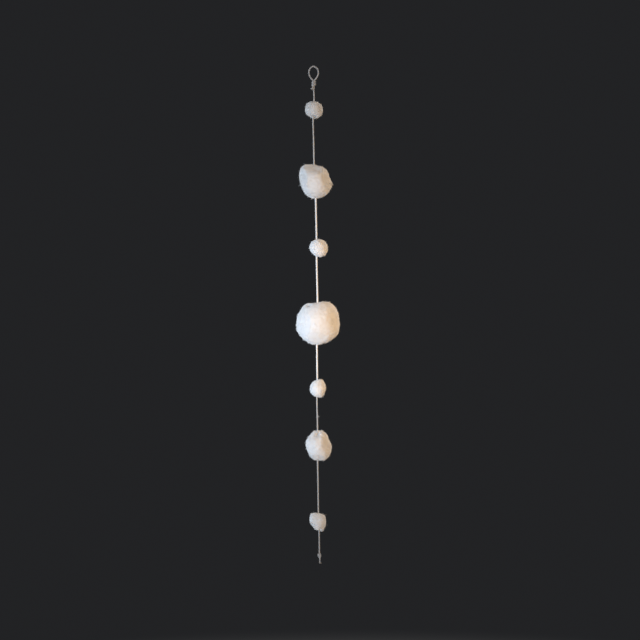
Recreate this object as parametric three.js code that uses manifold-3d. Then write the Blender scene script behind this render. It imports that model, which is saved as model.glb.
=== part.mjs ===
// Snowball garland: seven white fibre balls threaded on one white cotton string.
// Units are millimetres, with +Z up, +X to the viewer's right and +Y away from the viewer.
// The origin is the inside top of the hanging loop, and the garland hangs straight down from it.

import * as THREE from "three";
import { mergeVertices } from "three/addons/utils/BufferGeometryUtils.js";
import Module from "manifold-3d";

const wasm = await Module();
wasm.setup();

// Vertices this near to each other are one when a shape is closed
const MERGE_DISTANCE = 1e-4;

// Driving dimensions of the string
const STRING_DIAMETER = 1.8;
const STRING_SIDES = 8;
const STRING_STEPS = 78;
const THREADING_GAP = 0.3;

// Driving dimensions of the hanging loop and the knots
const LOOP_HEIGHT = 16;
const LOOP_WIDTH = 9;
const LOOP_STEPS = 22;
const WRAP_SIDES = 6;
const WRAP_CUTS = 10;
const WRAP_PITCH = 1.5;
const LOOP_KNOT = { drop: 18.6, wraps: 3, reach: 1.75, tilt: 16 };
const END_KNOT = { drop: 554.6, wraps: 2, reach: 1.3, tilt: 20 };
const TAIL_DROP = 563;

// The string's route from the loop's knot to the end of its tail, chosen by hand.
// drop is below the hanging point, right and behind are beside the plumb line.
const STRING_ROUTE = [
  { drop: 18, right: 0, behind: 0 },
  { drop: 28, right: 0.1, behind: 0 },
  { drop: 38, right: 0.15, behind: 0.1 },
  { drop: 48.4, right: -0.5, behind: 0 },
  { drop: 58.8, right: -1.1, behind: -0.3 },
  { drop: 84, right: -0.9, behind: -0.2 },
  { drop: 109.5, right: -0.7, behind: 0 },
  { drop: 130, right: 0, behind: 0.2 },
  { drop: 150.4, right: 0.7, behind: 0.1 },
  { drop: 172, right: 0.9, behind: 0 },
  { drop: 194.7, right: 1.05, behind: -0.1 },
  { drop: 205.5, right: 1.0, behind: -0.2 },
  { drop: 216.3, right: 0.9, behind: -0.1 },
  { drop: 241, right: 1.1, behind: 0 },
  { drop: 266.3, right: 1.3, behind: 0.1 },
  { drop: 291, right: 0.7, behind: 0.3 },
  { drop: 316.2, right: 0.05, behind: 0.2 },
  { drop: 335, right: 0, behind: 0.1 },
  { drop: 353.7, right: -0.05, behind: 0 },
  { drop: 365, right: -0.35, behind: -0.1 },
  { drop: 375.3, right: -0.7, behind: -0.1 },
  { drop: 394, right: -0.55, behind: -0.2 },
  { drop: 413.9, right: -0.45, behind: -0.3 },
  { drop: 430.7, right: -0.6, behind: 0 },
  { drop: 446.9, right: -0.75, behind: 0.2 },
  { drop: 476, right: -0.65, behind: 0.1 },
  { drop: 506, right: -0.55, behind: 0 },
  { drop: 516.7, right: -0.3, behind: -0.1 },
  { drop: 527.5, right: 0, behind: -0.1 },
  { drop: 541, right: 0, behind: 0 },
  { drop: END_KNOT.drop, right: 0, behind: 0 },
  { drop: TAIL_DROP, right: 0.6, behind: 0.2 },
];

// The snowballs, from the top of the garland down.
// half holds half of the width, depth and height before the lumps are pressed into it.
// A lump swells the ball by height, or draws it in where height is negative. It lies turn degrees
// round the ball, from 0 at the right by 90 behind, 180 at the left and 270 in front, and rise
// degrees above its middle, and it fades out over spread degrees.
const SNOWBALLS = [
  {
    name: "snowball_1_small",
    half: { x: 10.2, y: 10, z: 10.2 },
    drop: 48.4,
    right: -0.1,
    behind: 2.4,
    detail: 4,
    lumps: [
      { turn: 180, rise: -58, height: -1, spread: 35 },
      { turn: 180, rise: 45, height: 0.6, spread: 20 },
      { turn: 270, rise: -62, height: -1.6, spread: 22 },
      { turn: 70, rise: 15, height: 0.6, spread: 30 },
      { turn: 120, rise: -35, height: -0.6, spread: 24 },
    ],
  },
  {
    name: "snowball_2_medium",
    half: { x: 18.2, y: 17.8, z: 18.2 },
    drop: 130.3,
    right: 0.3,
    behind: 0.8,
    detail: 7,
    lumps: [
      { turn: 180, rise: 52, height: 4.6, spread: 30 },
      { turn: 180, rise: -18, height: -1.9, spread: 26 },
      { turn: 0, rise: -9, height: 1.7, spread: 11 },
      { turn: 0, rise: -45, height: 1, spread: 40 },
      { turn: 0, rise: 18, height: -1.7, spread: 12 },
      { turn: 0, rise: 65, height: 0.9, spread: 25 },
      { turn: 180, rise: -78, height: 0.7, spread: 30 },
      { turn: 255, rise: 8, height: 1.1, spread: 32 },
      { turn: 85, rise: -20, height: -1.4, spread: 26 },
      { turn: 110, rise: 38, height: 1.3, spread: 24 },
      { turn: 50, rise: 20, height: 1, spread: 20 },
    ],
  },
  {
    name: "snowball_3_small",
    half: { x: 10.4, y: 10.1, z: 10.4 },
    drop: 205.5,
    right: 3.2,
    behind: -0.6,
    detail: 4,
    lumps: [
      { turn: 180, rise: -48, height: -1.2, spread: 26 },
      { turn: 0, rise: -48, height: 0.6, spread: 30 },
      { turn: 100, rise: 20, height: -0.7, spread: 26 },
      { turn: 60, rise: -25, height: 0.5, spread: 24 },
    ],
  },
  {
    name: "snowball_4_large",
    half: { x: 24.8, y: 24.2, z: 24.7 },
    drop: 291.2,
    right: 1.6,
    behind: 1,
    detail: 7,
    lumps: [
      { turn: 0, rise: 52, height: 3.1, spread: 24 },
      { turn: 200, rise: 84, height: -1.8, spread: 13 },
      { turn: 180, rise: 56, height: 1.8, spread: 16 },
      { turn: 180, rise: -15, height: 0.8, spread: 13 },
      { turn: 0, rise: -68, height: -1.1, spread: 22 },
      { turn: 0, rise: -25, height: 0.9, spread: 15 },
      { turn: 255, rise: 22, height: 0.9, spread: 28 },
      { turn: 292, rise: -30, height: -0.9, spread: 20 },
      { turn: 75, rise: -12, height: 1.4, spread: 26 },
      { turn: 122, rise: 35, height: -1.2, spread: 22 },
      { turn: 100, rise: -52, height: 1, spread: 22 },
    ],
  },
  {
    name: "snowball_5_small",
    half: { x: 9.2, y: 9.1, z: 9.9 },
    drop: 365.1,
    right: 0.7,
    behind: 0.5,
    detail: 4,
    lumps: [
      { turn: 0, rise: 66, height: 1.6, spread: 24 },
      { turn: 0, rise: -72, height: 0.9, spread: 18 },
      { turn: 0, rise: -30, height: -0.6, spread: 18 },
      { turn: 95, rise: 10, height: 0.7, spread: 28 },
      { turn: 260, rise: -20, height: 0.4, spread: 24 },
    ],
  },
  {
    name: "snowball_6_medium",
    half: { x: 15.4, y: 15.2, z: 15.6 },
    drop: 430.7,
    right: 0.4,
    behind: 2.6,
    detail: 6,
    lumps: [
      { turn: 0, rise: 78, height: 2.6, spread: 26 },
      { turn: 180, rise: 72, height: 1.5, spread: 18 },
      { turn: 258, rise: 68, height: -3, spread: 14 },
      { turn: 0, rise: 24, height: -2.2, spread: 16 },
      { turn: 180, rise: -22, height: -1.9, spread: 25 },
      { turn: 0, rise: -58, height: 1.9, spread: 24 },
      { turn: 180, rise: -80, height: 0.8, spread: 25 },
      { turn: 265, rise: -12, height: 0.9, spread: 26 },
      { turn: 80, rise: 22, height: -1.2, spread: 24 },
      { turn: 110, rise: -25, height: 1.2, spread: 24 },
    ],
  },
  {
    name: "snowball_7_small",
    half: { x: 9.5, y: 9.3, z: 9.6 },
    drop: 516.7,
    right: -1.3,
    behind: -0.4,
    detail: 4,
    lumps: [
      { turn: 180, rise: 55, height: 2.4, spread: 26 },
      { turn: 0, rise: 42, height: 1.2, spread: 24 },
      { turn: 0, rise: -63, height: 2, spread: 14 },
      { turn: 180, rise: -35, height: -1.8, spread: 30 },
      { turn: 0, rise: -28, height: 0.5, spread: 12 },
      { turn: 90, rise: -15, height: 0.7, spread: 28 },
    ],
  },
];

// Finishes
function fibreMaterial() {
  return new THREE.MeshStandardMaterial({ color: 0xf1efeb, roughness: 0.95, metalness: 0 });
}

function stringMaterial() {
  return new THREE.MeshStandardMaterial({ color: 0xf4f3f0, roughness: 0.8, metalness: 0 });
}

// Closed geometry to a solid that can be joined and cut, and back
function solidOf(geometry) {
  const shell = geometry.clone();
  shell.deleteAttribute("normal");
  shell.deleteAttribute("uv");
  const closed = mergeVertices(shell, MERGE_DISTANCE);
  return new wasm.Manifold(
    new wasm.Mesh({
      numProp: 3,
      vertProperties: new Float32Array(closed.attributes.position.array),
      triVerts: new Uint32Array(closed.index.array),
    }),
  );
}

function geometryOf(solid) {
  const mesh = solid.getMesh();
  const geometry = new THREE.BufferGeometry();
  geometry.setAttribute("position", new THREE.BufferAttribute(mesh.vertProperties, 3));
  geometry.setIndex(new THREE.BufferAttribute(mesh.triVerts, 1));
  geometry.computeVertexNormals();
  return geometry;
}

// A place given by its drop below the hanging point and its distance beside the plumb line
function place({ drop, right, behind }) {
  return new THREE.Vector3(right, behind, -drop);
}

// A direction given by degrees round the ball and degrees above its middle
function direction(turn, rise) {
  const around = THREE.MathUtils.degToRad(turn);
  const above = THREE.MathUtils.degToRad(rise);
  return new THREE.Vector3(
    Math.cos(around) * Math.cos(above),
    Math.sin(around) * Math.cos(above),
    Math.sin(above),
  );
}

// A tube of the given radius along a curve
function tube(curve, radius, steps) {
  const section = new THREE.Shape();
  for (let side = 0; side < STRING_SIDES; side += 1) {
    const angle = (2 * Math.PI * side) / STRING_SIDES;
    const x = radius * Math.cos(angle);
    const y = radius * Math.sin(angle);
    if (side === 0) {
      section.moveTo(x, y);
    } else {
      section.lineTo(x, y);
    }
  }
  section.closePath();
  return new THREE.ExtrudeGeometry(section, { steps, bevelEnabled: false, extrudePath: curve });
}

// The string with its loop and its knots
function stringCurve() {
  return new THREE.CatmullRomCurve3(STRING_ROUTE.map(place), false, "centripetal");
}

function loopCurve() {
  const foot = LOOP_KNOT.drop;
  const side = (LOOP_WIDTH + STRING_DIAMETER) / 2;
  const rows = [
    { drop: foot, right: 0.5, behind: 0.2 },
    { drop: 0.78 * LOOP_HEIGHT, right: 0.6 * side, behind: 0.3 },
    { drop: 0.45 * LOOP_HEIGHT, right: side, behind: 0.2 },
    { drop: 0.12 * LOOP_HEIGHT, right: 0.8 * side, behind: 0 },
    { drop: -STRING_DIAMETER / 2, right: 0, behind: 0 },
    { drop: 0.14 * LOOP_HEIGHT, right: -0.82 * side, behind: -0.1 },
    { drop: 0.5 * LOOP_HEIGHT, right: -0.95 * side, behind: -0.2 },
    { drop: 0.8 * LOOP_HEIGHT, right: -0.52 * side, behind: -0.3 },
    { drop: foot, right: -0.5, behind: -0.2 },
  ];
  return new THREE.CatmullRomCurve3(rows.map(place), false, "centripetal");
}

// A knot's turns, each one ring of string round the strands, leaning one way and then the other
function knotTurns({ drop, wraps, reach, tilt }) {
  const turns = [];
  for (let wrap = 0; wrap < wraps; wrap += 1) {
    const ring = new THREE.TorusGeometry(reach, STRING_DIAMETER / 2, WRAP_SIDES, WRAP_CUTS);
    const lean = THREE.MathUtils.degToRad(wrap % 2 === 0 ? tilt : -tilt);
    const rise = ((wraps - 1) / 2 - wrap) * WRAP_PITCH;
    ring.rotateX(lean / 2);
    ring.rotateY(lean);
    ring.translate(0, 0, rise - drop);
    turns.push(ring);
  }
  return turns;
}

function stringGeometry(curve) {
  const radius = STRING_DIAMETER / 2;
  const pieces = [
    tube(loopCurve(), radius, LOOP_STEPS),
    ...knotTurns(LOOP_KNOT),
    ...knotTurns(END_KNOT),
  ];
  let whole = solidOf(tube(curve, radius, STRING_STEPS));
  for (const piece of pieces) {
    whole = whole.add(solidOf(piece));
  }
  return geometryOf(whole);
}

// One snowball, with the hole that the string runs through
function swell(lumps, outward) {
  let height = 0;
  for (const lump of lumps) {
    const apart = THREE.MathUtils.radToDeg(outward.angleTo(direction(lump.turn, lump.rise)));
    height += lump.height * Math.exp(-((apart / lump.spread) ** 2));
  }
  return height;
}

function snowballGeometry(ball, threading) {
  const surface = new THREE.IcosahedronGeometry(1, ball.detail);
  const points = surface.attributes.position;
  const centre = place(ball);
  const outward = new THREE.Vector3();
  for (let index = 0; index < points.count; index += 1) {
    outward.fromBufferAttribute(points, index).normalize();
    const { x, y, z } = ball.half;
    const plain = 1 / Math.hypot(outward.x / x, outward.y / y, outward.z / z);
    const reach = plain + swell(ball.lumps, outward);
    const point = outward.clone().multiplyScalar(reach).add(centre);
    points.setXYZ(index, point.x, point.y, point.z);
  }
  return geometryOf(solidOf(surface).subtract(threading));
}

// The garland
function garland() {
  const group = new THREE.Group();
  const curve = stringCurve();
  const string = new THREE.Mesh(stringGeometry(curve), stringMaterial());
  string.name = "string";
  group.add(string);

  const holeRadius = STRING_DIAMETER / 2 + THREADING_GAP;
  const threading = solidOf(tube(curve, holeRadius, STRING_STEPS));
  for (const ball of SNOWBALLS) {
    const snowball = new THREE.Mesh(snowballGeometry(ball, threading), fibreMaterial());
    snowball.name = ball.name;
    group.add(snowball);
  }
  return group;
}

export default garland();
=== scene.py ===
import math

import bmesh
import bpy
import numpy as np
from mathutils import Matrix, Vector, noise
from mathutils.bvhtree import BVHTree
from mathutils.kdtree import KDTree


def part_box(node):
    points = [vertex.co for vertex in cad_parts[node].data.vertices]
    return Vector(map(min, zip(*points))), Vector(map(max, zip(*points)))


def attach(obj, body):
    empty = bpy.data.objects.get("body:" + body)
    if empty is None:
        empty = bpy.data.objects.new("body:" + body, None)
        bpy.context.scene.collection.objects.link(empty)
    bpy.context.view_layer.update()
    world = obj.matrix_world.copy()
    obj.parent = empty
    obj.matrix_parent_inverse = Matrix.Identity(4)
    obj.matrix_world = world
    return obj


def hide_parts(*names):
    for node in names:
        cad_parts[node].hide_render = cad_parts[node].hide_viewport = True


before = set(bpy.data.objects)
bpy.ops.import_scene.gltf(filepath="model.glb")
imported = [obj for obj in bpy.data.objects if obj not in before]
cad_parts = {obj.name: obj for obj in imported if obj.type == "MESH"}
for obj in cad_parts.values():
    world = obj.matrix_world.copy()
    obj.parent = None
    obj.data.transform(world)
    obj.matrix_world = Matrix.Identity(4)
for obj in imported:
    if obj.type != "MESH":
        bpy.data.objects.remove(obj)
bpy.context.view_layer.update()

# Snowball garland: seven balls of loose white fibre on a twisted cotton string.
# Everything is in metres in the frame's axes. Sizes named in millimetres are turned by MM.
MM = 0.001
BODY = "root"
FIBRE_SLOT = "snow_fibre"
STRING_SLOT = "string"

# The photograph: its side in pixels, the size of a pixel in the plane of the string, and how many
# millimetres its middle lies to the right of the hanging point and below it. The camera's lean
# to the right is in degrees.
IMAGE_SIDE = 640
MM_PER_PIXEL = 1.136
IMAGE_MIDDLE_RIGHT = 3.9
IMAGE_MIDDLE_DROP = 287.3
CAMERA_LEAN = 0.7
LENS_MM = 85
SENSOR_MM = 36
CLIP_START_M = 0.01

# The string's route from the loop's knot to the stopper knot, as in the CAD model:
# millimetres below the hanging point, to the right of the plumb line and behind it.
STRING_DIAMETER = 1.8
LOOP_KNOT_DROP = 18.6
END_KNOT_DROP = 554.6
TAIL_DROP = 563
STRING_ROUTE = [
    (18, 0, 0),
    (28, 0.1, 0),
    (38, 0.15, 0.1),
    (48.4, -0.5, 0),
    (58.8, -1.1, -0.3),
    (84, -0.9, -0.2),
    (109.5, -0.7, 0),
    (130, 0, 0.2),
    (150.4, 0.7, 0.1),
    (172, 0.9, 0),
    (194.7, 1.05, -0.1),
    (205.5, 1.0, -0.2),
    (216.3, 0.9, -0.1),
    (241, 1.1, 0),
    (266.3, 1.3, 0.1),
    (291, 0.7, 0.3),
    (316.2, 0.05, 0.2),
    (335, 0, 0.1),
    (353.7, -0.05, 0),
    (365, -0.35, -0.1),
    (375.3, -0.7, -0.1),
    (394, -0.55, -0.2),
    (413.9, -0.45, -0.3),
    (430.7, -0.6, 0),
    (446.9, -0.75, 0.2),
    (476, -0.65, 0.1),
    (506, -0.55, 0),
    (516.7, -0.3, -0.1),
    (527.5, 0, -0.1),
    (541, 0, 0),
    (END_KNOT_DROP, 0, 0),
]

# The string at each drop in millimetres: its tone, which is painted shade, and its girth as a
# share of its diameter. It is whitest and fullest from the second ball to the fifth, as in the
# photograph; the painted shade greys it above and below there, where the light falls off.
STRING_SHADES_AND_GIRTHS = [
    (0, 0.66, 0.9),
    (110, 0.7, 0.9),
    (150, 1.0, 1.13),
    (345, 1.0, 1.13),
    (380, 0.6, 0.88),
    (TAIL_DROP, 0.55, 0.88),
]
# The string's painted shade as a run of greys, from its tail at 0 to its top at 1.
STRING_PAINTED_SHADE = [
    (1 - drop / TAIL_DROP, (tone, tone, tone)) for drop, tone, _ in reversed(STRING_SHADES_AND_GIRTHS)
]


# Small helpers


def place(drop, right, behind):
    """A point of the frame from millimetres below, right of and behind the hanging point."""
    return np.array([right, behind, -drop]) * MM


def direction(turn, rise):
    """A unit vector: turn is 0 to the right, 90 behind, 180 left, 270 in front; rise is up."""
    around, above = math.radians(turn), math.radians(rise)
    flat = math.cos(above)
    return np.array([flat * math.cos(around), flat * math.sin(around), math.sin(above)])


def unit(vectors):
    """The same vectors at length 1."""
    return vectors / np.maximum(np.linalg.norm(vectors, axis=-1, keepdims=True), 1e-12)


def smooth_step(x):
    """A soft rise from 0 to 1 as x goes from 0 to 1, and level on both sides."""
    x = np.clip(x, 0, 1)
    return x * x * (3 - 2 * x)


def smooth_line(points, spacing):
    """Points about spacing apart on a smooth curve through the given ones."""
    points = np.array(points, float)
    chord = np.r_[0, np.cumsum(np.linalg.norm(np.diff(points, axis=0), axis=1))]
    slope = np.gradient(points, chord, axis=0)
    at = np.linspace(0, chord[-1], max(3, round(chord[-1] / spacing) + 1))
    k = np.clip(np.searchsorted(chord, at, side="right") - 1, 0, len(chord) - 2)
    span = (chord[k + 1] - chord[k])[:, None]
    t = (at - chord[k])[:, None] / span
    return (
        (1 + 2 * t) * (1 - t) ** 2 * points[k]
        + t * (1 - t) ** 2 * span * slope[k]
        + t * t * (3 - 2 * t) * points[k + 1]
        + t * t * (t - 1) * span * slope[k + 1]
    )


def frames_along(lines):
    """Two directions square to each line at each of its points, carried along without twist."""
    tangent = unit(np.gradient(lines, axis=1))
    least = np.abs(tangent[:, 0]).argmin(axis=1)
    across = np.eye(3)[least]
    side = np.empty_like(lines)
    for k in range(lines.shape[1]):
        along = (across * tangent[:, k]).sum(axis=1, keepdims=True)
        across = unit(across - along * tangent[:, k])
        side[:, k] = across
    return side, np.cross(tangent, side)


def closed_tubes(lines, radius, sides):
    """The points and faces of one closed tube along each line. Radius has a value a point."""
    lines = np.asarray(lines, float)
    count, steps = lines.shape[:2]
    side, up = frames_along(lines)
    turn = 2 * math.pi * np.arange(sides) / sides
    ring = (
        np.cos(turn)[:, None] * side[:, :, None] + np.sin(turn)[:, None] * up[:, :, None]
    )
    radius = np.broadcast_to(radius, lines.shape[:2])
    points = lines[:, :, None] + radius[..., None, None] * ring
    index = np.arange(count * steps * sides).reshape(count, steps, sides)
    here, after = index[:, :-1], index[:, 1:]
    quads = np.stack(
        [here, np.roll(here, -1, axis=2), np.roll(after, -1, axis=2), after], axis=-1
    )
    caps = np.concatenate([index[:, 0, ::-1], index[:, -1]])
    return points.reshape(-1, 3), [quads.reshape(-1, 4), caps]


def joined(shells):
    """Several lots of points and faces as one."""
    points, quads, caps, start = [], [], [], 0
    for shell, faces in shells:
        points.append(shell)
        quads.append(faces[0] + start)
        caps.append(faces[1] + start)
        start += len(shell)
    return np.concatenate(points), [np.concatenate(quads), np.concatenate(caps)]


def mesh_object(name, points, faces, material, slot, uv=None):
    """A smooth shaded object on the garland's body, with an optional map of one place a point."""
    mesh = bpy.data.meshes.new(name)
    corners = np.concatenate([f.ravel() for f in faces]).astype(np.int32)
    sizes = np.concatenate([np.full(len(f), f.shape[1]) for f in faces])
    starts = np.r_[0, np.cumsum(sizes)[:-1]].astype(np.int32)
    mesh.vertices.add(len(points))
    mesh.vertices.foreach_set("co", np.asarray(points, np.float32).ravel())
    mesh.loops.add(len(corners))
    mesh.loops.foreach_set("vertex_index", corners)
    mesh.polygons.add(len(sizes))
    mesh.polygons.foreach_set("loop_start", starts)
    mesh.polygons.foreach_set("use_smooth", np.ones(len(sizes), bool))
    mesh.update(calc_edges=True)
    if uv is not None:
        layer = mesh.uv_layers.new(name="OFBake")
        layer.uv.foreach_set("vector", np.asarray(uv, np.float32)[corners].ravel())
    mesh.materials.append(material)
    made = bpy.data.objects.new(name, mesh)
    bpy.context.scene.collection.objects.link(made)
    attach(made, BODY)
    return made


STRAND_SIDES = 3
MAP_LOW = 0.02
MAP_HIGH = 0.98
MAP_STRIP = 0.006


def strand_object(name, groups, material, slot, random=None):
    """Loose fibres as one object. Each group is its lines and their radius at each point.

    The map gives each strand a narrow strip of its own. Its place across, which the strand's
    tint comes from, is random, or with no random numbers the strand's height on the string.
    """
    shells, maps = [], []
    for lines, radius in groups:
        shells.append(closed_tubes(lines, radius, STRAND_SIDES))
        count, steps = lines.shape[:2]
        # With no random numbers the tint follows height, so the string's fuzz takes the string's
        # painted shade.
        if random is None:
            tint = np.clip(1 + lines[:, 0, 2] / (TAIL_DROP * MM), MAP_LOW, MAP_HIGH)
        else:
            tint = random.uniform(MAP_LOW, MAP_HIGH, count)
        strip = MAP_STRIP * np.arange(STRAND_SIDES)[None, None]
        across = tint[:, None, None] + strip - MAP_STRIP
        along = np.linspace(MAP_LOW, MAP_HIGH, steps)[None, :, None]
        shape = (count, steps, STRAND_SIDES)
        both = [np.broadcast_to(across, shape), np.broadcast_to(along, shape)]
        maps.append(np.stack(both, axis=-1).reshape(-1, 2))
    points, faces = joined(shells)
    return mesh_object(name, points, faces, material, slot, np.concatenate(maps))


# Materials

# The specular level and sheen roughness of all fibre, and how far red, green and blue light go
# in it, each as a share of a material's depth.
SPECULAR = 0.15
SHEEN_ROUGHNESS = 0.6
COLOUR_TRAVEL = (1, 0.92, 0.85)

# Runs of colour: each stop is a place from 0 to 1 and a colour.
WADDING_WHITES = [
    (0.3, (0.89, 0.886, 0.877)),
    (0.55, (0.91, 0.907, 0.9)),
    (0.8, (0.93, 0.928, 0.92)),
]
FLUFF_WHITES = [
    (0, (0.92, 0.915, 0.905)),
    (0.5, (0.955, 0.952, 0.945)),
    (1, (0.985, 0.982, 0.975)),
]
COTTON_WHITES = [
    (0.3, (0.955, 0.95, 0.94)),
    (0.7, (0.985, 0.982, 0.975)),
]

# The wadding's grain is drawn out to fibres along each axis in turn.
DRAWN_OUT = 0.16
GRAIN_STRETCHES = [(1, 1, DRAWN_OUT), (DRAWN_OUT, 1, 1), (1, DRAWN_OUT, 1)]


def new_material(name, roughness, sheen, subsurface, depth_mm):
    """A matte Principled material that lets in as much light as subsurface says."""
    material = bpy.data.materials.new(name)
    material.use_nodes = True
    shader = material.node_tree.nodes["Principled BSDF"]
    shader.inputs["Roughness"].default_value = roughness
    shader.inputs["Specular IOR Level"].default_value = SPECULAR
    shader.inputs["Sheen Weight"].default_value = sheen
    shader.inputs["Sheen Roughness"].default_value = SHEEN_ROUGHNESS
    shader.inputs["Subsurface Weight"].default_value = subsurface
    shader.inputs["Subsurface Radius"].default_value = COLOUR_TRAVEL
    shader.inputs["Subsurface Scale"].default_value = depth_mm * MM
    return material, material.node_tree, shader


def stretched(tree, source, scale):
    """The same places, scaled along each axis."""
    node = tree.nodes.new("ShaderNodeMapping")
    node.inputs["Scale"].default_value = scale
    tree.links.new(source, node.inputs["Vector"])
    return node.outputs["Vector"]


def noise_node(tree, source, grain_mm, detail, distortion):
    """A noise pattern whose grain is about grain_mm across."""
    node = tree.nodes.new("ShaderNodeTexNoise")
    node.inputs["Scale"].default_value = 1 / (grain_mm * MM)
    node.inputs["Detail"].default_value = detail
    node.inputs["Distortion"].default_value = distortion
    tree.links.new(source, node.inputs["Vector"])
    return node.outputs["Fac"]


def larger(tree, first, second):
    """The larger of two values at each place."""
    node = tree.nodes.new("ShaderNodeMath")
    node.operation = "MAXIMUM"
    tree.links.new(first, node.inputs[0])
    tree.links.new(second, node.inputs[1])
    return node.outputs["Value"]


def colour_ramp(tree, source, stops):
    """The colour that a run of stops gives each value."""
    ramp = tree.nodes.new("ShaderNodeValToRGB")
    while len(ramp.color_ramp.elements) < len(stops):
        ramp.color_ramp.elements.new(0.5)
    for element, (at, colour) in zip(ramp.color_ramp.elements, stops):
        element.position = at
        element.color = (*colour, 1)
    tree.links.new(source, ramp.inputs["Fac"])
    return ramp.outputs["Color"]


def bump(tree, shader, height, distance_mm, strength):
    """Gives a material fine relief."""
    node = tree.nodes.new("ShaderNodeBump")
    node.inputs["Distance"].default_value = distance_mm * MM
    node.inputs["Strength"].default_value = strength
    tree.links.new(height, node.inputs["Height"])
    tree.links.new(node.outputs["Normal"], shader.inputs["Normal"])


def wadding_material():
    """The matted fibre of a ball: white, a little greyer in patches, with a fibrous grain."""
    material, tree, shader = new_material(
        "wadding", roughness=0.95, sheen=0.3, subsurface=0.3, depth_mm=1.5
    )
    where = tree.nodes.new("ShaderNodeTexCoord").outputs["Object"]
    patches = noise_node(tree, where, grain_mm=6, detail=3, distortion=0.6)
    whites = colour_ramp(tree, patches, WADDING_WHITES)
    tree.links.new(whites, shader.inputs["Base Color"])
    grain = None
    for scale in GRAIN_STRETCHES:
        source = stretched(tree, where, scale)
        fibres = noise_node(tree, source, grain_mm=0.42, detail=2, distortion=1.4)
        grain = fibres if grain is None else larger(tree, grain, fibres)
    bump(tree, shader, grain, distance_mm=0.3, strength=0.55)
    return material


def strand_material(name, stops):
    """Loose fibre, each strand with the tone of its place across the map."""
    material, tree, shader = new_material(
        name, roughness=0.9, sheen=0.1, subsurface=0, depth_mm=0.5
    )
    places = tree.nodes.new("ShaderNodeUVMap")
    places.uv_map = "OFBake"
    parts = tree.nodes.new("ShaderNodeSeparateXYZ")
    tree.links.new(places.outputs["UV"], parts.inputs["Vector"])
    tree.links.new(colour_ramp(tree, parts.outputs["X"], stops), shader.inputs["Base Color"])
    return material


def cotton_material():
    """Twisted cotton: white plies with a fine grain, slight patches and a painted shade for each
    drop.
    """
    material, tree, shader = new_material(
        "cotton", roughness=0.85, sheen=0.5, subsurface=0, depth_mm=0.4
    )
    where = tree.nodes.new("ShaderNodeTexCoord").outputs["Object"]
    patches = noise_node(tree, where, grain_mm=3, detail=2, distortion=0.4)
    whites = colour_ramp(tree, patches, COTTON_WHITES)
    parts = tree.nodes.new("ShaderNodeSeparateXYZ")
    tree.links.new(where, parts.inputs["Vector"])
    level = tree.nodes.new("ShaderNodeMapRange")
    level.inputs["From Min"].default_value = -TAIL_DROP * MM
    level.inputs["From Max"].default_value = 0
    tree.links.new(parts.outputs["Z"], level.inputs["Value"])
    # Painted shade: the string's greys by height, darker towards its top and bottom, multiplied
    # into the whites.
    painted_shade = colour_ramp(tree, level.outputs["Result"], STRING_PAINTED_SHADE)
    tint = tree.nodes.new("ShaderNodeMix")
    tint.data_type = "RGBA"
    tint.blend_type = "MULTIPLY"
    tint.inputs["Factor"].default_value = 1
    tree.links.new(whites, tint.inputs["A"])
    tree.links.new(painted_shade, tint.inputs["B"])
    tree.links.new(tint.outputs["Result"], shader.inputs["Base Color"])
    grain = noise_node(tree, where, grain_mm=0.16, detail=3, distortion=1.5)
    bump(tree, shader, grain, distance_mm=0.07, strength=0.6)
    return material


# Camera


def make_camera():
    """The photograph's view: level, face on, a long lens and the string in its place."""
    distance = IMAGE_SIDE * MM_PER_PIXEL * MM * LENS_MM / SENSOR_MM
    data = bpy.data.cameras.new("camera")
    data.lens = LENS_MM
    data.sensor_width = SENSOR_MM
    data.clip_start = CLIP_START_M
    camera = bpy.data.objects.new("camera", data)
    camera.location = (IMAGE_MIDDLE_RIGHT * MM, -distance, -IMAGE_MIDDLE_DROP * MM)
    camera.rotation_euler = (math.radians(90), math.radians(CAMERA_LEAN), 0)
    bpy.context.scene.collection.objects.link(camera)
    bpy.context.scene.camera = camera


# The string

# The plies, in millimetres. The girth in STRING_SHADES_AND_GIRTHS scales their radius and how far they lie
# from the string's middle line.
PLIES = 3
PLY_SIDES = 7
PLY_RADIUS = 0.435
PLY_OFFSET = 0.475
PLY_PITCH = 5.4
YARN_STEP = 0.55
FRAY_LENGTH = 2.2
FRAY_SPREAD = 0.75
FRAY_THINNING = 0.8

# A barrel knot: the pitch of its wraps as a share of the string, its inner radius, where its
# first row starts under its foot, how far it runs past each end, and the share of a turn in
# which an end comes out to full reach.
WRAP_PITCH = 0.94
WRAP_CORE = 0.4
WRAP_START = 0.2
WRAP_OVERRUN = 0.55
WRAP_END_TURN = 0.3
WRAP_STEPS = 12


def yarn(line, frayed=False):
    """The points and faces of three plies twisted round a line, spread apart at a frayed end."""
    side, up = (directions[0] for directions in frames_along(line[None]))
    run = np.r_[0, np.cumsum(np.linalg.norm(np.diff(line, axis=0), axis=1))]
    loose = smooth_step(1 - (run[-1] - run) / (FRAY_LENGTH * MM)) if frayed else 0 * run
    drops, _, girths = zip(*STRING_SHADES_AND_GIRTHS)
    girth = np.interp(-line[:, 2] / MM, drops, girths) * MM
    shells = []
    for ply in range(PLIES):
        turn = 2 * math.pi * (run / (PLY_PITCH * MM) + ply / PLIES)
        offset = (girth * (PLY_OFFSET + FRAY_SPREAD * loose**1.5))[:, None]
        centre = line + offset * (np.cos(turn)[:, None] * side + np.sin(turn)[:, None] * up)
        radius = girth * PLY_RADIUS * (1 - FRAY_THINNING * loose**2)
        shells.append(closed_tubes(centre[None], radius[None], PLY_SIDES))
    return joined(shells)


def string_through(rows):
    """A smooth line through rows like those of the string's route."""
    return smooth_line([place(*row) for row in rows], YARN_STEP * MM)


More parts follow.
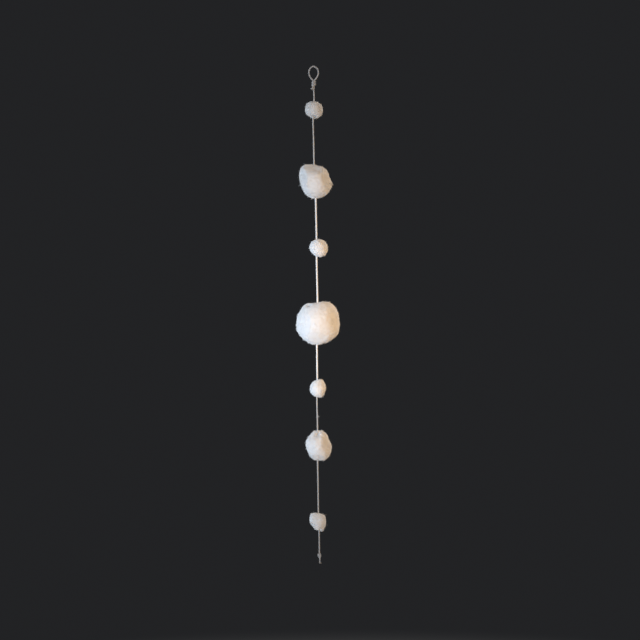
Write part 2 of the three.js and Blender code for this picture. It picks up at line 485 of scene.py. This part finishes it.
def wrapped(drop, wraps, reach, start_turn):
    """The rows of string that turn up round a barrel knot, from its foot to its top."""
    height = wraps * (STRING_DIAMETER * WRAP_PITCH)
    foot = drop + height / 2
    start = math.radians(start_turn)
    rows = [(foot + WRAP_START, WRAP_CORE * math.cos(start), 0)]
    turns = wraps + 0.5
    steps = round(turns * WRAP_STEPS)
    for step in range(steps + 1):
        t = step / steps
        around = start + 2 * math.pi * turns * t
        ends = min(t, 1 - t) * turns / WRAP_END_TURN
        out = WRAP_CORE + (reach - WRAP_CORE) * float(smooth_step(ends))
        down = foot + WRAP_OVERRUN - (height + 2 * WRAP_OVERRUN) * t
        rows.append((down, out * math.cos(around), out * math.sin(around)))
    return rows


def make_string(material):
    """The hanging run as a cord of its real length, with the loop and the end knot on it.

    All rows are like those of the string's route.
    """
    line = string_through(STRING_ROUTE)
    run = mesh_object("string_run", *yarn(line), material, STRING_SLOT)
    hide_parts("string")

    loop_rows = [
        (LOOP_KNOT_DROP + 3.2, 0.55, 0.1),
        (LOOP_KNOT_DROP - 1, 0.6, 0.1),
        (LOOP_KNOT_DROP - 3.4, 1.0, 0.2),
        (12.2, 3.3, 0.3),
        (7.2, 5.4, 0.2),
        (1.9, 4.3, 0),
        (-0.9, 0, 0),
        (2.2, -4.4, -0.1),
        (8, -5.1, -0.2),
        (12.6, -3.0, -0.3),
        (LOOP_KNOT_DROP - 3.4, -1.0, -0.2),
        (LOOP_KNOT_DROP - 1, -0.6, -0.1),
        (LOOP_KNOT_DROP + 1.5, -0.5, -0.1),
    ]
    knot_rows = wrapped(LOOP_KNOT_DROP, wraps=3, reach=1.75, start_turn=20)
    cut_rows = [
        (LOOP_KNOT_DROP + 1, -0.5, -0.6),
        (LOOP_KNOT_DROP + 3, -0.8, -0.9),
        (LOOP_KNOT_DROP + 5, -1.3, -1.5),
        (LOOP_KNOT_DROP + 6.6, -2.1, -2.0),
    ]
    shells = [
        yarn(string_through(loop_rows)),
        yarn(string_through(knot_rows)),
        yarn(string_through(cut_rows), frayed=True),
    ]
    loop = mesh_object("string_loop", *joined(shells), material, STRING_SLOT)

    stopper_rows = wrapped(END_KNOT_DROP, wraps=2, reach=1.45, start_turn=200)
    tail_rows = [
        (END_KNOT_DROP, 0.3, 0.1),
        (END_KNOT_DROP + 2.5, 0.4, 0.1),
        (END_KNOT_DROP + 5.5, 0.4, 0.15),
        (TAIL_DROP, 0.6, 0.2),
    ]
    shells = [yarn(string_through(stopper_rows)), yarn(string_through(tail_rows), frayed=True)]
    knot = mesh_object("string_end_knot", *joined(shells), material, STRING_SLOT)
    cut_ends = [string_through(cut_rows), string_through(tail_rows)]

    return line, cut_ends


# The fibres that stand off the string: fuzz all along it, a brush at each cut end and the
# whiskers of one snag. A pair of numbers is the least and the most, and a swing is how far a
# fibre turns round the string on its way out, in radians.
FUZZ_SEED = 5
FUZZ_COUNT = 620
FUZZ_STEPS = 5
FUZZ_ROOT_SHARE = 0.62
FUZZ_REACH = 0.28
FUZZ_SWING = 0.5
FUZZ_RADIUS = (0.03, 0.045)
BRUSH_COUNT = 70
BRUSH_ROOT = 1.6
BRUSH_REACH = 1.3
BRUSH_REACH_SHARE = (0.1, 1)
BRUSH_SWING = 0.4
BRUSH_START = (0.1, 0.7)
BRUSH_SPREAD = (0.3, 1.5)
BRUSH_RADIUS = (0.035, 0.06)
FUZZ_THINNING = 0.5
WHISKER_COUNT = 14
WHISKER_ROWS = [(398.4, -0.4, -0.5), (397.6, 0.5, -0.6), (396.2, 1.1, -0.7)]


def brush(line, count, random):
    """The fine fibres that a cut end of the string opens into, or that a snag draws out."""
    u = np.linspace(0, 1, FUZZ_STEPS)[None]
    run = np.linalg.norm(line - line[-1], axis=1)
    root = line[np.abs(run - BRUSH_ROOT * MM).argmin()]
    onward = unit(line[-1] - root)
    side, up = (directions[0, 0] for directions in frames_along(np.array([[root, line[-1]]])))
    length = BRUSH_ROOT + BRUSH_REACH * random.uniform(*BRUSH_REACH_SHARE, (count, 1))
    around = random.uniform(0, 2 * math.pi, (count, 1))
    swing = around + random.normal(0, BRUSH_SWING, (count, 1)) * u
    spread = random.uniform(*BRUSH_SPREAD, (count, 1))
    out = random.uniform(*BRUSH_START, (count, 1)) + spread * u**1.6
    lines = (
        root
        + (length * u * MM)[..., None] * onward
        + (out * np.cos(swing) * MM)[..., None] * side
        + (out * np.sin(swing) * MM)[..., None] * up
    )
    radius = random.uniform(*BRUSH_RADIUS, (count, 1)) * (1 - FUZZ_THINNING * u) * MM
    return lines, radius


def make_string_fuzz(string_line, cut_ends, material):
    """The fibres that stand off the cotton all along it, at its cut ends and at one snag."""
    random = np.random.default_rng(FUZZ_SEED)
    at = random.integers(0, len(string_line), FUZZ_COUNT)
    around = random.uniform(0, 2 * math.pi, (FUZZ_COUNT, 1))
    u = np.linspace(0, 1, FUZZ_STEPS)[None]
    reach = random.gamma(2, FUZZ_REACH, (FUZZ_COUNT, 1)) * (1 - (1 - u) ** 2)
    along = random.normal(0, 1, (FUZZ_COUNT, 1)) * u
    swing = around + random.normal(0, FUZZ_SWING, (FUZZ_COUNT, 1)) * u
    out = FUZZ_ROOT_SHARE * STRING_DIAMETER / 2 + reach
    offset = np.stack([out * np.cos(swing), out * np.sin(swing), along], axis=-1) * MM
    lines = string_line[at][:, None] + offset
    radius = random.uniform(*FUZZ_RADIUS, (FUZZ_COUNT, 1)) * (1 - FUZZ_THINNING * u) * MM
    groups = [(lines, radius)] + [brush(line, BRUSH_COUNT, random) for line in cut_ends]
    groups.append(brush(string_through(WHISKER_ROWS), WHISKER_COUNT, random))
    strand_object("string_fuzz", groups, material, STRING_SLOT)


# The snowballs

# Each has its own sphere level, its counts of matted, bunched and loose fibres and its seed.
# A flat is pressed into the ball at a turn and a rise in degrees, to a share of its reach there.
# A bump swells it at a turn and a rise, by millimetres, and fades out over degrees.
# A wisp is a tuft of bunches that stands out at a turn and a rise, by millimetres.
BALLS = {
    "snowball_1_small": {
        "level": 6,
        "fibres": (460, 70, 220),
        "seed": 11,
        "flats": [(232, -12, 0.97), (318, 8, 0.96), (80, 10, 0.95)],
        "bumps": [],
        "wisps": [(182, 42, 0.9), (4, 30, 0.8), (0, -35, 0.9)],
    },
    "snowball_2_medium": {
        "level": 7,
        "fibres": (1400, 260, 800),
        "seed": 12,
        "flats": [
            (266, -14, 0.95),
            (278, 56, 0.88),
            (210, 4, 0.93),
            (327, 10, 0.87),
            (120, 5, 0.93),
            (50, -30, 0.94),
        ],
        "bumps": [(178, 56, 0.6, 18), (184, -50, -0.5, 24), (222, 40, 0.5, 9), (300, 30, 0.5, 8)],
        "wisps": [(359, -10, 1.3), (182, 44, 1), (2, 48, 0.9), (176, -50, 1), (350, -52, 1)],
    },
    "snowball_3_small": {
        "level": 6,
        "fibres": (460, 70, 220),
        "seed": 13,
        "flats": [(318, 42, 0.95), (110, -10, 0.95)],
        "bumps": [],
        "wisps": [(180, 5, 0.9), (2, -50, 0.9), (4, 20, 0.8)],
    },
    "snowball_4_large": {
        "level": 7,
        "fibres": (1900, 400, 1200),
        "seed": 14,
        "flats": [
            (230, -4, 0.955),
            (318, 2, 0.955),
            (272, -52, 0.95),
            (140, 8, 0.95),
            (45, -14, 0.95),
            (90, 50, 0.95),
        ],
        "bumps": [(219, 59, -2.3, 7), (290, 66, 0.8, 9), (232, 70, 0.6, 7), (300, 46, 1.2, 20)],
        "wisps": [
            (181, -4, 1.3),
            (178, -20, 1.2),
            (181, -34, 1.3),
            (180, -48, 1.3),
            (178, -62, 1.2),
            (1, 62, 1.3),
            (0, 78, 1.2),
            (2, -40, 1),
        ],
    },
    "snowball_5_small": {
        "level": 6,
        "fibres": (440, 70, 210),
        "seed": 15,
        "flats": [(244, -4, 0.95), (326, 26, 0.98), (344, -14, 0.93), (95, 0, 0.96)],
        "bumps": [],
        "wisps": [(20, 68, 1), (1, -62, 1.1), (180, -10, 0.8)],
    },
    "snowball_6_medium": {
        "level": 7,
        "fibres": (1150, 200, 650),
        "seed": 16,
        "flats": [
            (233, -9, 0.93),
            (322, 15, 0.82),
            (262, -58, 0.95),
            (130, 0, 0.93),
            (50, 20, 0.93),
        ],
        "bumps": [
            (288, 62, 1.6, 6),
            (285, 37, 1.2, 6),
            (236, 66, 0.8, 9),
            (2, 30, -0.8, 15),
            (180, 2, -0.5, 22),
        ],
        "wisps": [(186, 72, 1.4), (3, 76, 1.2), (2, -68, 1.5), (180, 20, 1.1), (181, -2, 1)],
    },
    "snowball_7_small": {
        "level": 6,
        "fibres": (440, 70, 220),
        "seed": 17,
        "flats": [(336, 4, 0.86), (224, -14, 0.95), (262, 30, 0.96), (95, 10, 0.95)],
        "bumps": [(300, -52, -0.8, 9), (180, 36, 0.4, 24), (182, -38, -0.3, 18), (304, 24, 0.5, 8)],
        "wisps": [(358, -64, 1.8), (352, -60, 1.5), (5, -66, 1.4), (4, 40, 0.9), (176, 50, 0.9)],
    },
}

# Shares of a ball's size, which is half its smallest width: where rays towards it start, the
# least reach that isn't taken for the threading hole, how far above and below its middle the
# string counts, how softly a flat meets the rest, and how deep the core lies under the fluff.
RAY_START = 3
LEAST_REACH = 0.7
STRING_SPAN = 1.5
FLAT_SOFTNESS = 0.1
CORE_DEPTH = 0.017

# How often the CAD facets are smoothed, and how much a way must face a flat to be pressed by it.
FACET_SMOOTHING = 14
FLAT_FACING = 0.3

# Puffs are a size and a height in millimetres, at full height on a ball of PUFF_FULL_SIZE. Each
# ball's seed shifts their pattern. The dimple round the string is in millimetres too.
PUFFS = [(9, 0.4), (3.6, 0.13), (1.5, 0.08)]
PUFF_SHIFT = (7.3, 3.1, 5.7)
PUFF_ROUNDING = 0.12
PUFF_LEVEL = 0.5
PUFF_FULL_SIZE = 15
DIMPLE_DEPTH = 0.8
DIMPLE_WIDTH = 1.9


class Ball:
    """A snowball's matted surface: its middle, and its reach each way of a fine sphere."""

    def __init__(self, node, level, string_line):
        """Takes the ball's first form from its CAD solid."""
        mesh = bmesh.new()
        bmesh.ops.create_icosphere(mesh, subdivisions=level, radius=1)
        self.ways = unit(np.array([v.co for v in mesh.verts]))
        self.faces = np.array([[v.index for v in f.verts] for f in mesh.faces])
        self.edges = np.array([[v.index for v in e.verts] for e in mesh.edges])
        mesh.free()
        low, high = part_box(node)
        self.middle = np.array((low + high) / 2)
        self.size = float(min(high - low)) / 2
        self.nearest = KDTree(len(self.ways))
        for index, way in enumerate(self.ways):
            self.nearest.insert(way, index)
        self.nearest.balance()
        near = np.abs(string_line[:, 2] - self.middle[2]) < STRING_SPAN * self.size
        self.string = string_line[near]
        self.reach = self.cad_reach(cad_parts[node])

    def mean_of_neighbours(self, values, weights):
        """The weighted mean of the values next to each point, and the weight it had."""
        a, b = self.edges.T
        count = len(values)
        total = np.bincount(a, (values * weights)[b], count)
        total += np.bincount(b, (values * weights)[a], count)
        weight = np.bincount(a, weights[b], count) + np.bincount(b, weights[a], count)
        return total / np.maximum(weight, 1e-9), weight

    def cad_reach(self, node):
        """How far the CAD solid reaches each way, with its threading hole and facets smoothed."""
        tree = BVHTree.FromPolygons(
            [v.co for v in node.data.vertices], [p.vertices for p in node.data.polygons]
        )
        far = RAY_START * self.size
        reach = np.zeros(len(self.ways))
        for index, way in enumerate(self.ways):
            hit = tree.ray_cast(Vector(self.middle + far * way), Vector(-way))
            reach[index] = far - hit[3] if hit[0] is not None else 0
        clear = self.string_distance(reach) > STRING_DIAMETER * MM
        known = (clear & (reach > LEAST_REACH * self.size)).astype(float)
        while known.min() == 0:
            filled, weight = self.mean_of_neighbours(reach, known)
            fresh = (known == 0) & (weight > 0)
            reach[fresh] = filled[fresh]
            known[fresh] = 1
        for _ in range(FACET_SMOOTHING):
            reach = 0.5 * reach + 0.5 * self.mean_of_neighbours(reach, known)[0]
        return reach

    def string_distance(self, reach):
        """How far each point of the surface lies from the string."""
        points = self.middle + self.ways * reach[:, None]
        nearest = np.full(len(points), np.inf)
        for p in self.string:
            nearest = np.minimum(nearest, np.linalg.norm(points - p, axis=1))
        return nearest

    def reach_towards(self, ways):
        """The surface's reach in any directions."""
        index = [self.nearest.find(way)[1] for way in ways.reshape(-1, 3)]
        return self.reach[index].reshape(ways.shape[:-1])

    def points(self):
        """The points of the surface as it is now."""
        return self.middle + self.ways * self.reach[:, None]

    def press_flats(self, flats):
        """Presses soft planes into the ball."""
        softness = FLAT_SOFTNESS * self.size
        for turn, rise, share in flats:
            towards = direction(turn, rise)
            height = share * float(self.reach_towards(towards[None])[0])
            facing = self.ways @ towards
            to_plane = height / np.maximum(facing, FLAT_FACING)
            plane = np.where(facing > FLAT_FACING, to_plane, np.inf)
            plane = np.minimum(plane, self.reach + 2 * softness)
            mix = np.clip(0.5 + 0.5 * (plane - self.reach) / softness, 0, 1)
            self.reach = mix * self.reach + (1 - mix) * plane - softness * mix * (1 - mix)

    def swell(self, bumps):
        """Raises or draws in the ball round each place."""
        for turn, rise, height, spread in bumps:
            apart = np.degrees(np.arccos(np.clip(self.ways @ direction(turn, rise), -1, 1)))
            self.reach = self.reach + height * MM * np.exp(-((apart / spread) ** 2))

    def puff_up(self, seed):
        """Gives the surface soft puffs, and draws it in where the string enters."""
        points = self.points() / MM
        shift = Vector([seed * step for step in PUFF_SHIFT])
        lift = np.zeros(len(points))
        for size, height in PUFFS:
            grain = np.array([noise.noise(Vector(p) / size + shift) for p in points])
            lift += height * (2 * np.sqrt(grain**2 + PUFF_ROUNDING**2) - PUFF_LEVEL)
        lift *= min(1, self.size / (PUFF_FULL_SIZE * MM))
        near = self.string_distance(self.reach) / MM
        lift -= DIMPLE_DEPTH * np.exp(-((near / DIMPLE_WIDTH) ** 2))
        self.reach = self.reach + lift * MM - CORE_DEPTH * self.size


def laid_on(ball, ways, ahead, aside, x, y, height):
    """Lines over a ball from steps along two directions and heights, all in millimetres."""
    size = ball.size / MM
    step = x[..., None] * ahead[:, None] + y[..., None] * aside[:, None]
    moved = unit(ways[:, None] + step / size)
    reach = ball.reach_towards(moved) + height * MM
    return ball.middle + moved * reach[..., None]


def tangents(ways, random):
    """A random direction along the surface at each way, and the one square to it."""
    first = unit(np.cross(ways, unit(random.normal(size=ways.shape))))
    return first, np.cross(ways, first)


# The fibres of a ball, in millimetres. A pair for uniform is the least and the most, and a pair
# for gamma is its shape and its scale. Bends and waves are in radians.
ROOT_DEPTH = 0.3
MATTED_STEPS = 7
MATTED_LENGTH = (3.5, 9)
MATTED_FULL_SIZE = 16
MATTED_BEND = 1.1
MATTED_WAVE = 0.8
MATTED_LIFT = (2.4, 0.1)
MATTED_RADIUS = (0.024, 0.044)
BUNCH_STEPS = 4
BUNCH_STRANDS = 9
BUNCH_HEIGHT = (4, 0.2)
BUNCH_ROOT = 0.75
BUNCH_LEAN = 1.2
BUNCH_TIP = 0.35
BUNCH_CURL = 0.15
BUNCH_TOP_SHARE = (0.55, 1.1)
BUNCH_RADIUS = (0.035, 0.06)
WISP_BUNCHES = 4
LOOSE_STEPS = 5
LOOSE_HEIGHT = (2, 0.36)
LOOSE_LENGTH = (0.8, 2.8)
LOOSE_CURL = 0.5
LOOSE_RADIUS = (0.03, 0.045)
FLUFF_THINNING = 0.6


def matted_fibres(ball, count, random):
    """Long fibres that curl along the surface, their ends sunk in it."""
    u = np.linspace(0, 1, MATTED_STEPS)[None]
    ways = unit(random.normal(size=(count, 3)))
    ahead, aside = tangents(ways, random)
    shorter = min(1, ball.size / MM / MATTED_FULL_SIZE) ** 0.6
    length = random.uniform(*MATTED_LENGTH, (count, 1)) * shorter
    bend = random.normal(0, MATTED_BEND, (count, 1))
    wave = random.normal(0, MATTED_WAVE, (count, 1))
    phase = random.random((count, 1))
    heading = 2 * bend * (u - 0.5) + wave * np.sin(2 * math.pi * (u + phase))
    step = length / (MATTED_STEPS - 1)
    x = np.cumsum(np.cos(heading) * step, axis=1)
    y = np.cumsum(np.sin(heading) * step, axis=1)
    x -= x.mean(axis=1, keepdims=True)
    y -= y.mean(axis=1, keepdims=True)
    arch = np.sin(math.pi * u)
    lift = random.gamma(*MATTED_LIFT, (count, 1))
    height = -ROOT_DEPTH + (lift + ROOT_DEPTH) * arch**0.7
    radius = random.uniform(*MATTED_RADIUS, (count, 1)) * (0.5 + 0.5 * arch)
    return laid_on(ball, ways, ahead, aside, x, y, height), radius * MM


def bunches(ball, ways, heights, random):
    """Bunches of fibres whose roots are spread and whose tips draw together."""
    count = len(ways)
    ahead, aside = tangents(ways, random)
    ways, ahead, aside = (np.repeat(v, BUNCH_STRANDS, axis=0) for v in (ways, ahead, aside))
    heights = np.repeat(heights, BUNCH_STRANDS)[:, None]
    total = count * BUNCH_STRANDS
    u = np.linspace(0, 1, BUNCH_STEPS)[None]
    root = random.normal(0, BUNCH_ROOT, (2, total, 1))
    lean = np.repeat(random.normal(0, BUNCH_LEAN, (2, count, 1)), BUNCH_STRANDS, axis=1)
    tip = lean + random.normal(0, BUNCH_TIP, (2, total, 1))
    curl = random.normal(0, BUNCH_CURL, (2, total, 1)) * np.sin(2 * math.pi * u)
    x, y = root * (1 - u**1.2) + tip * u**1.2 + curl
    top = heights * random.uniform(*BUNCH_TOP_SHARE, (total, 1))
    height = -ROOT_DEPTH + (top + ROOT_DEPTH) * u**0.9
    radius = random.uniform(*BUNCH_RADIUS, (total, 1)) * (1 - FLUFF_THINNING * u)
    return laid_on(ball, ways, ahead, aside, x, y, height), radius * MM


def loose_fibres(ball, count, random):
    """Single ends that stand a little off the surface and curl over."""
    u = np.linspace(0, 1, LOOSE_STEPS)[None]
    ways = unit(random.normal(size=(count, 3)))
    ahead, aside = tangents(ways, random)
    top = random.gamma(*LOOSE_HEIGHT, (count, 1))
    height = -ROOT_DEPTH + (top + ROOT_DEPTH) * (1 - (1 - u) ** 1.7)
    x = random.uniform(*LOOSE_LENGTH, (count, 1)) * u**1.1
    y = random.normal(0, LOOSE_CURL, (count, 1)) * np.sin(2.6 * u)
    radius = random.uniform(*LOOSE_RADIUS, (count, 1)) * (1 - FLUFF_THINNING * u)
    return laid_on(ball, ways, ahead, aside, x, y, height), radius * MM


def make_ball(name, shape, string_line, wadding, fluff):
    """One snowball: its matted body, which stands for the CAD solid, and its loose fibre."""
    random = np.random.default_rng(shape["seed"])
    ball = Ball(name, shape["level"], string_line)
    ball.press_flats(shape["flats"])
    ball.swell(shape["bumps"])
    ball.puff_up(shape["seed"])
    core = mesh_object(name + "_core", ball.points(), [ball.faces], wadding, FIBRE_SLOT)
    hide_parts(name)

    matted, bunched, loose = shape["fibres"]
    ways = unit(random.normal(size=(bunched, 3)))
    heights = random.gamma(*BUNCH_HEIGHT, bunched)
    wisp_ways = np.array([direction(turn, rise) for turn, rise, _ in shape["wisps"]])
    wisp_ways = np.repeat(wisp_ways, WISP_BUNCHES, axis=0)
    wisp_heights = np.repeat([height for *_, height in shape["wisps"]], WISP_BUNCHES)
    groups = [
        matted_fibres(ball, matted, random),
        bunches(ball, ways, heights, random),
        loose_fibres(ball, loose, random),
        bunches(ball, wisp_ways, wisp_heights, random),
    ]
    strand_object(name + "_fluff", groups, fluff, FIBRE_SLOT, random)


# Light and surroundings

# Drops are in millimetres. Distances and sizes of lamps and floor are in metres.
BACKDROP = (0.016, 0.0165, 0.018)
WORLD_COLOUR = (0.98, 0.97, 0.98)
WORLD_STRENGTH = 0.25
LIT_DROP = 290
LAMP_DISTANCE = 1.2
LAMP_RADIUS = 0.22
PANEL_SIZE = 0.7
FLOOR_DROP = 900
FLOOR_RADIUS = 6
FLOOR_SIDES = 96
FLOOR_COLOUR = (0.6, 0.6, 0.6)
FLOOR_ROUGHNESS = 0.9
FADE_START = 0.3
FADE_END = 1.3


def make_world():
    """A plain grey surround that is seen as one tone and lights the garland softly."""
    world = bpy.data.worlds.new("studio")
    bpy.context.scene.world = world
    world.use_nodes = True
    tree = world.node_tree
    seen = tree.nodes.new("ShaderNodeBackground")
    seen.inputs["Color"].default_value = (*BACKDROP, 1)
    lit = tree.nodes["Background"]
    lit.inputs["Color"].default_value = (*WORLD_COLOUR, 1)
    lit.inputs["Strength"].default_value = WORLD_STRENGTH
    path = tree.nodes.new("ShaderNodeLightPath")
    mix = tree.nodes.new("ShaderNodeMixShader")
    tree.links.new(path.outputs["Is Camera Ray"], mix.inputs["Fac"])
    tree.links.new(lit.outputs["Background"], mix.inputs[1])
    tree.links.new(seen.outputs["Background"], mix.inputs[2])
    tree.links.new(mix.outputs["Shader"], tree.nodes["World Output"].inputs["Surface"])


def add_light(data, turn, rise, power, colour):
    """Places a light that faces the middle of the garland."""
    data.energy = power
    data.color = colour
    light = bpy.data.objects.new(data.name, data)
    towards = Vector(direction(turn, rise))
    light.location = Vector((0, 0, -LIT_DROP * MM)) + LAMP_DISTANCE * towards
    light.rotation_euler = towards.to_track_quat("Z", "Y").to_euler()
    light.visible_camera = False
    bpy.context.scene.collection.objects.link(light)


def make_lamp(name, turn, rise, beam, power, colour):
    """A soft lamp, its beam some degrees wide and brightest at the middle of the garland."""
    data = bpy.data.lights.new(name, "SPOT")
    data.shadow_soft_size = LAMP_RADIUS
    data.spot_size = math.radians(beam)
    data.spot_blend = 1
    add_light(data, turn, rise, power, colour)


def make_panel(name, turn, rise, power, colour):
    """A soft square light."""
    data = bpy.data.lights.new(name, "AREA")
    data.shape = "SQUARE"
    data.size = PANEL_SIZE
    add_light(data, turn, rise, power, colour)


def make_lights():
    """A cool lamp in front on the left, a warm one on the right and soft panels behind."""
    make_lamp("cool_lamp", turn=225, rise=-10, beam=31, power=67, colour=(0.68, 0.82, 1.0))
    make_lamp("warm_lamp", turn=306, rise=2, beam=28, power=46, colour=(1.0, 0.6, 0.24))
    make_panel("back_left", turn=130, rise=12, power=5, colour=(1.0, 0.98, 0.95))
    make_panel("back_right", turn=55, rise=20, power=6, colour=(1.0, 0.95, 0.9))


def make_floor():
    """A pale floor that fades into the surround far from the garland."""
    mesh = bmesh.new()
    bmesh.ops.create_circle(mesh, cap_ends=True, segments=FLOOR_SIDES, radius=FLOOR_RADIUS)
    data = bpy.data.meshes.new("floor")
    mesh.to_mesh(data)
    mesh.free()
    floor = bpy.data.objects.new("floor", data)
    floor.location = (0, 0, -FLOOR_DROP * MM)
    bpy.context.scene.collection.objects.link(floor)
    material = bpy.data.materials.new("floor")
    material.use_nodes = True
    tree = material.node_tree
    shader = tree.nodes["Principled BSDF"]
    shader.inputs["Base Color"].default_value = (*FLOOR_COLOUR, 1)
    shader.inputs["Roughness"].default_value = FLOOR_ROUGHNESS
    far = tree.nodes.new("ShaderNodeEmission")
    far.inputs["Color"].default_value = (*BACKDROP, 1)
    where = tree.nodes.new("ShaderNodeTexCoord").outputs["Object"]
    length = tree.nodes.new("ShaderNodeVectorMath")
    length.operation = "LENGTH"
    tree.links.new(where, length.inputs[0])
    fade = tree.nodes.new("ShaderNodeMapRange")
    fade.interpolation_type = "SMOOTHSTEP"
    fade.inputs["From Min"].default_value = FADE_START
    fade.inputs["From Max"].default_value = FADE_END
    tree.links.new(length.outputs["Value"], fade.inputs["Value"])
    mix = tree.nodes.new("ShaderNodeMixShader")
    tree.links.new(fade.outputs["Result"], mix.inputs["Fac"])
    tree.links.new(shader.outputs["BSDF"], mix.inputs[1])
    tree.links.new(far.outputs["Emission"], mix.inputs[2])
    tree.links.new(mix.outputs["Shader"], tree.nodes["Material Output"].inputs["Surface"])
    data.materials.append(material)


def main():
    """Builds the whole scene, the camera and the cord first."""
    bpy.context.scene.view_settings.view_transform = "Standard"
    make_camera()
    string_line, cut_ends = make_string(cotton_material())
    # The string's fuzz is greyed by the same painted shade as the string.
    make_string_fuzz(string_line, cut_ends, strand_material("cotton_fuzz", STRING_PAINTED_SHADE))
    fluff = strand_material("fluff", FLUFF_WHITES)
    wadding = wadding_material()
    for name, shape in BALLS.items():
        make_ball(name, shape, string_line, wadding, fluff)
    make_world()
    make_lights()
    make_floor()


main()
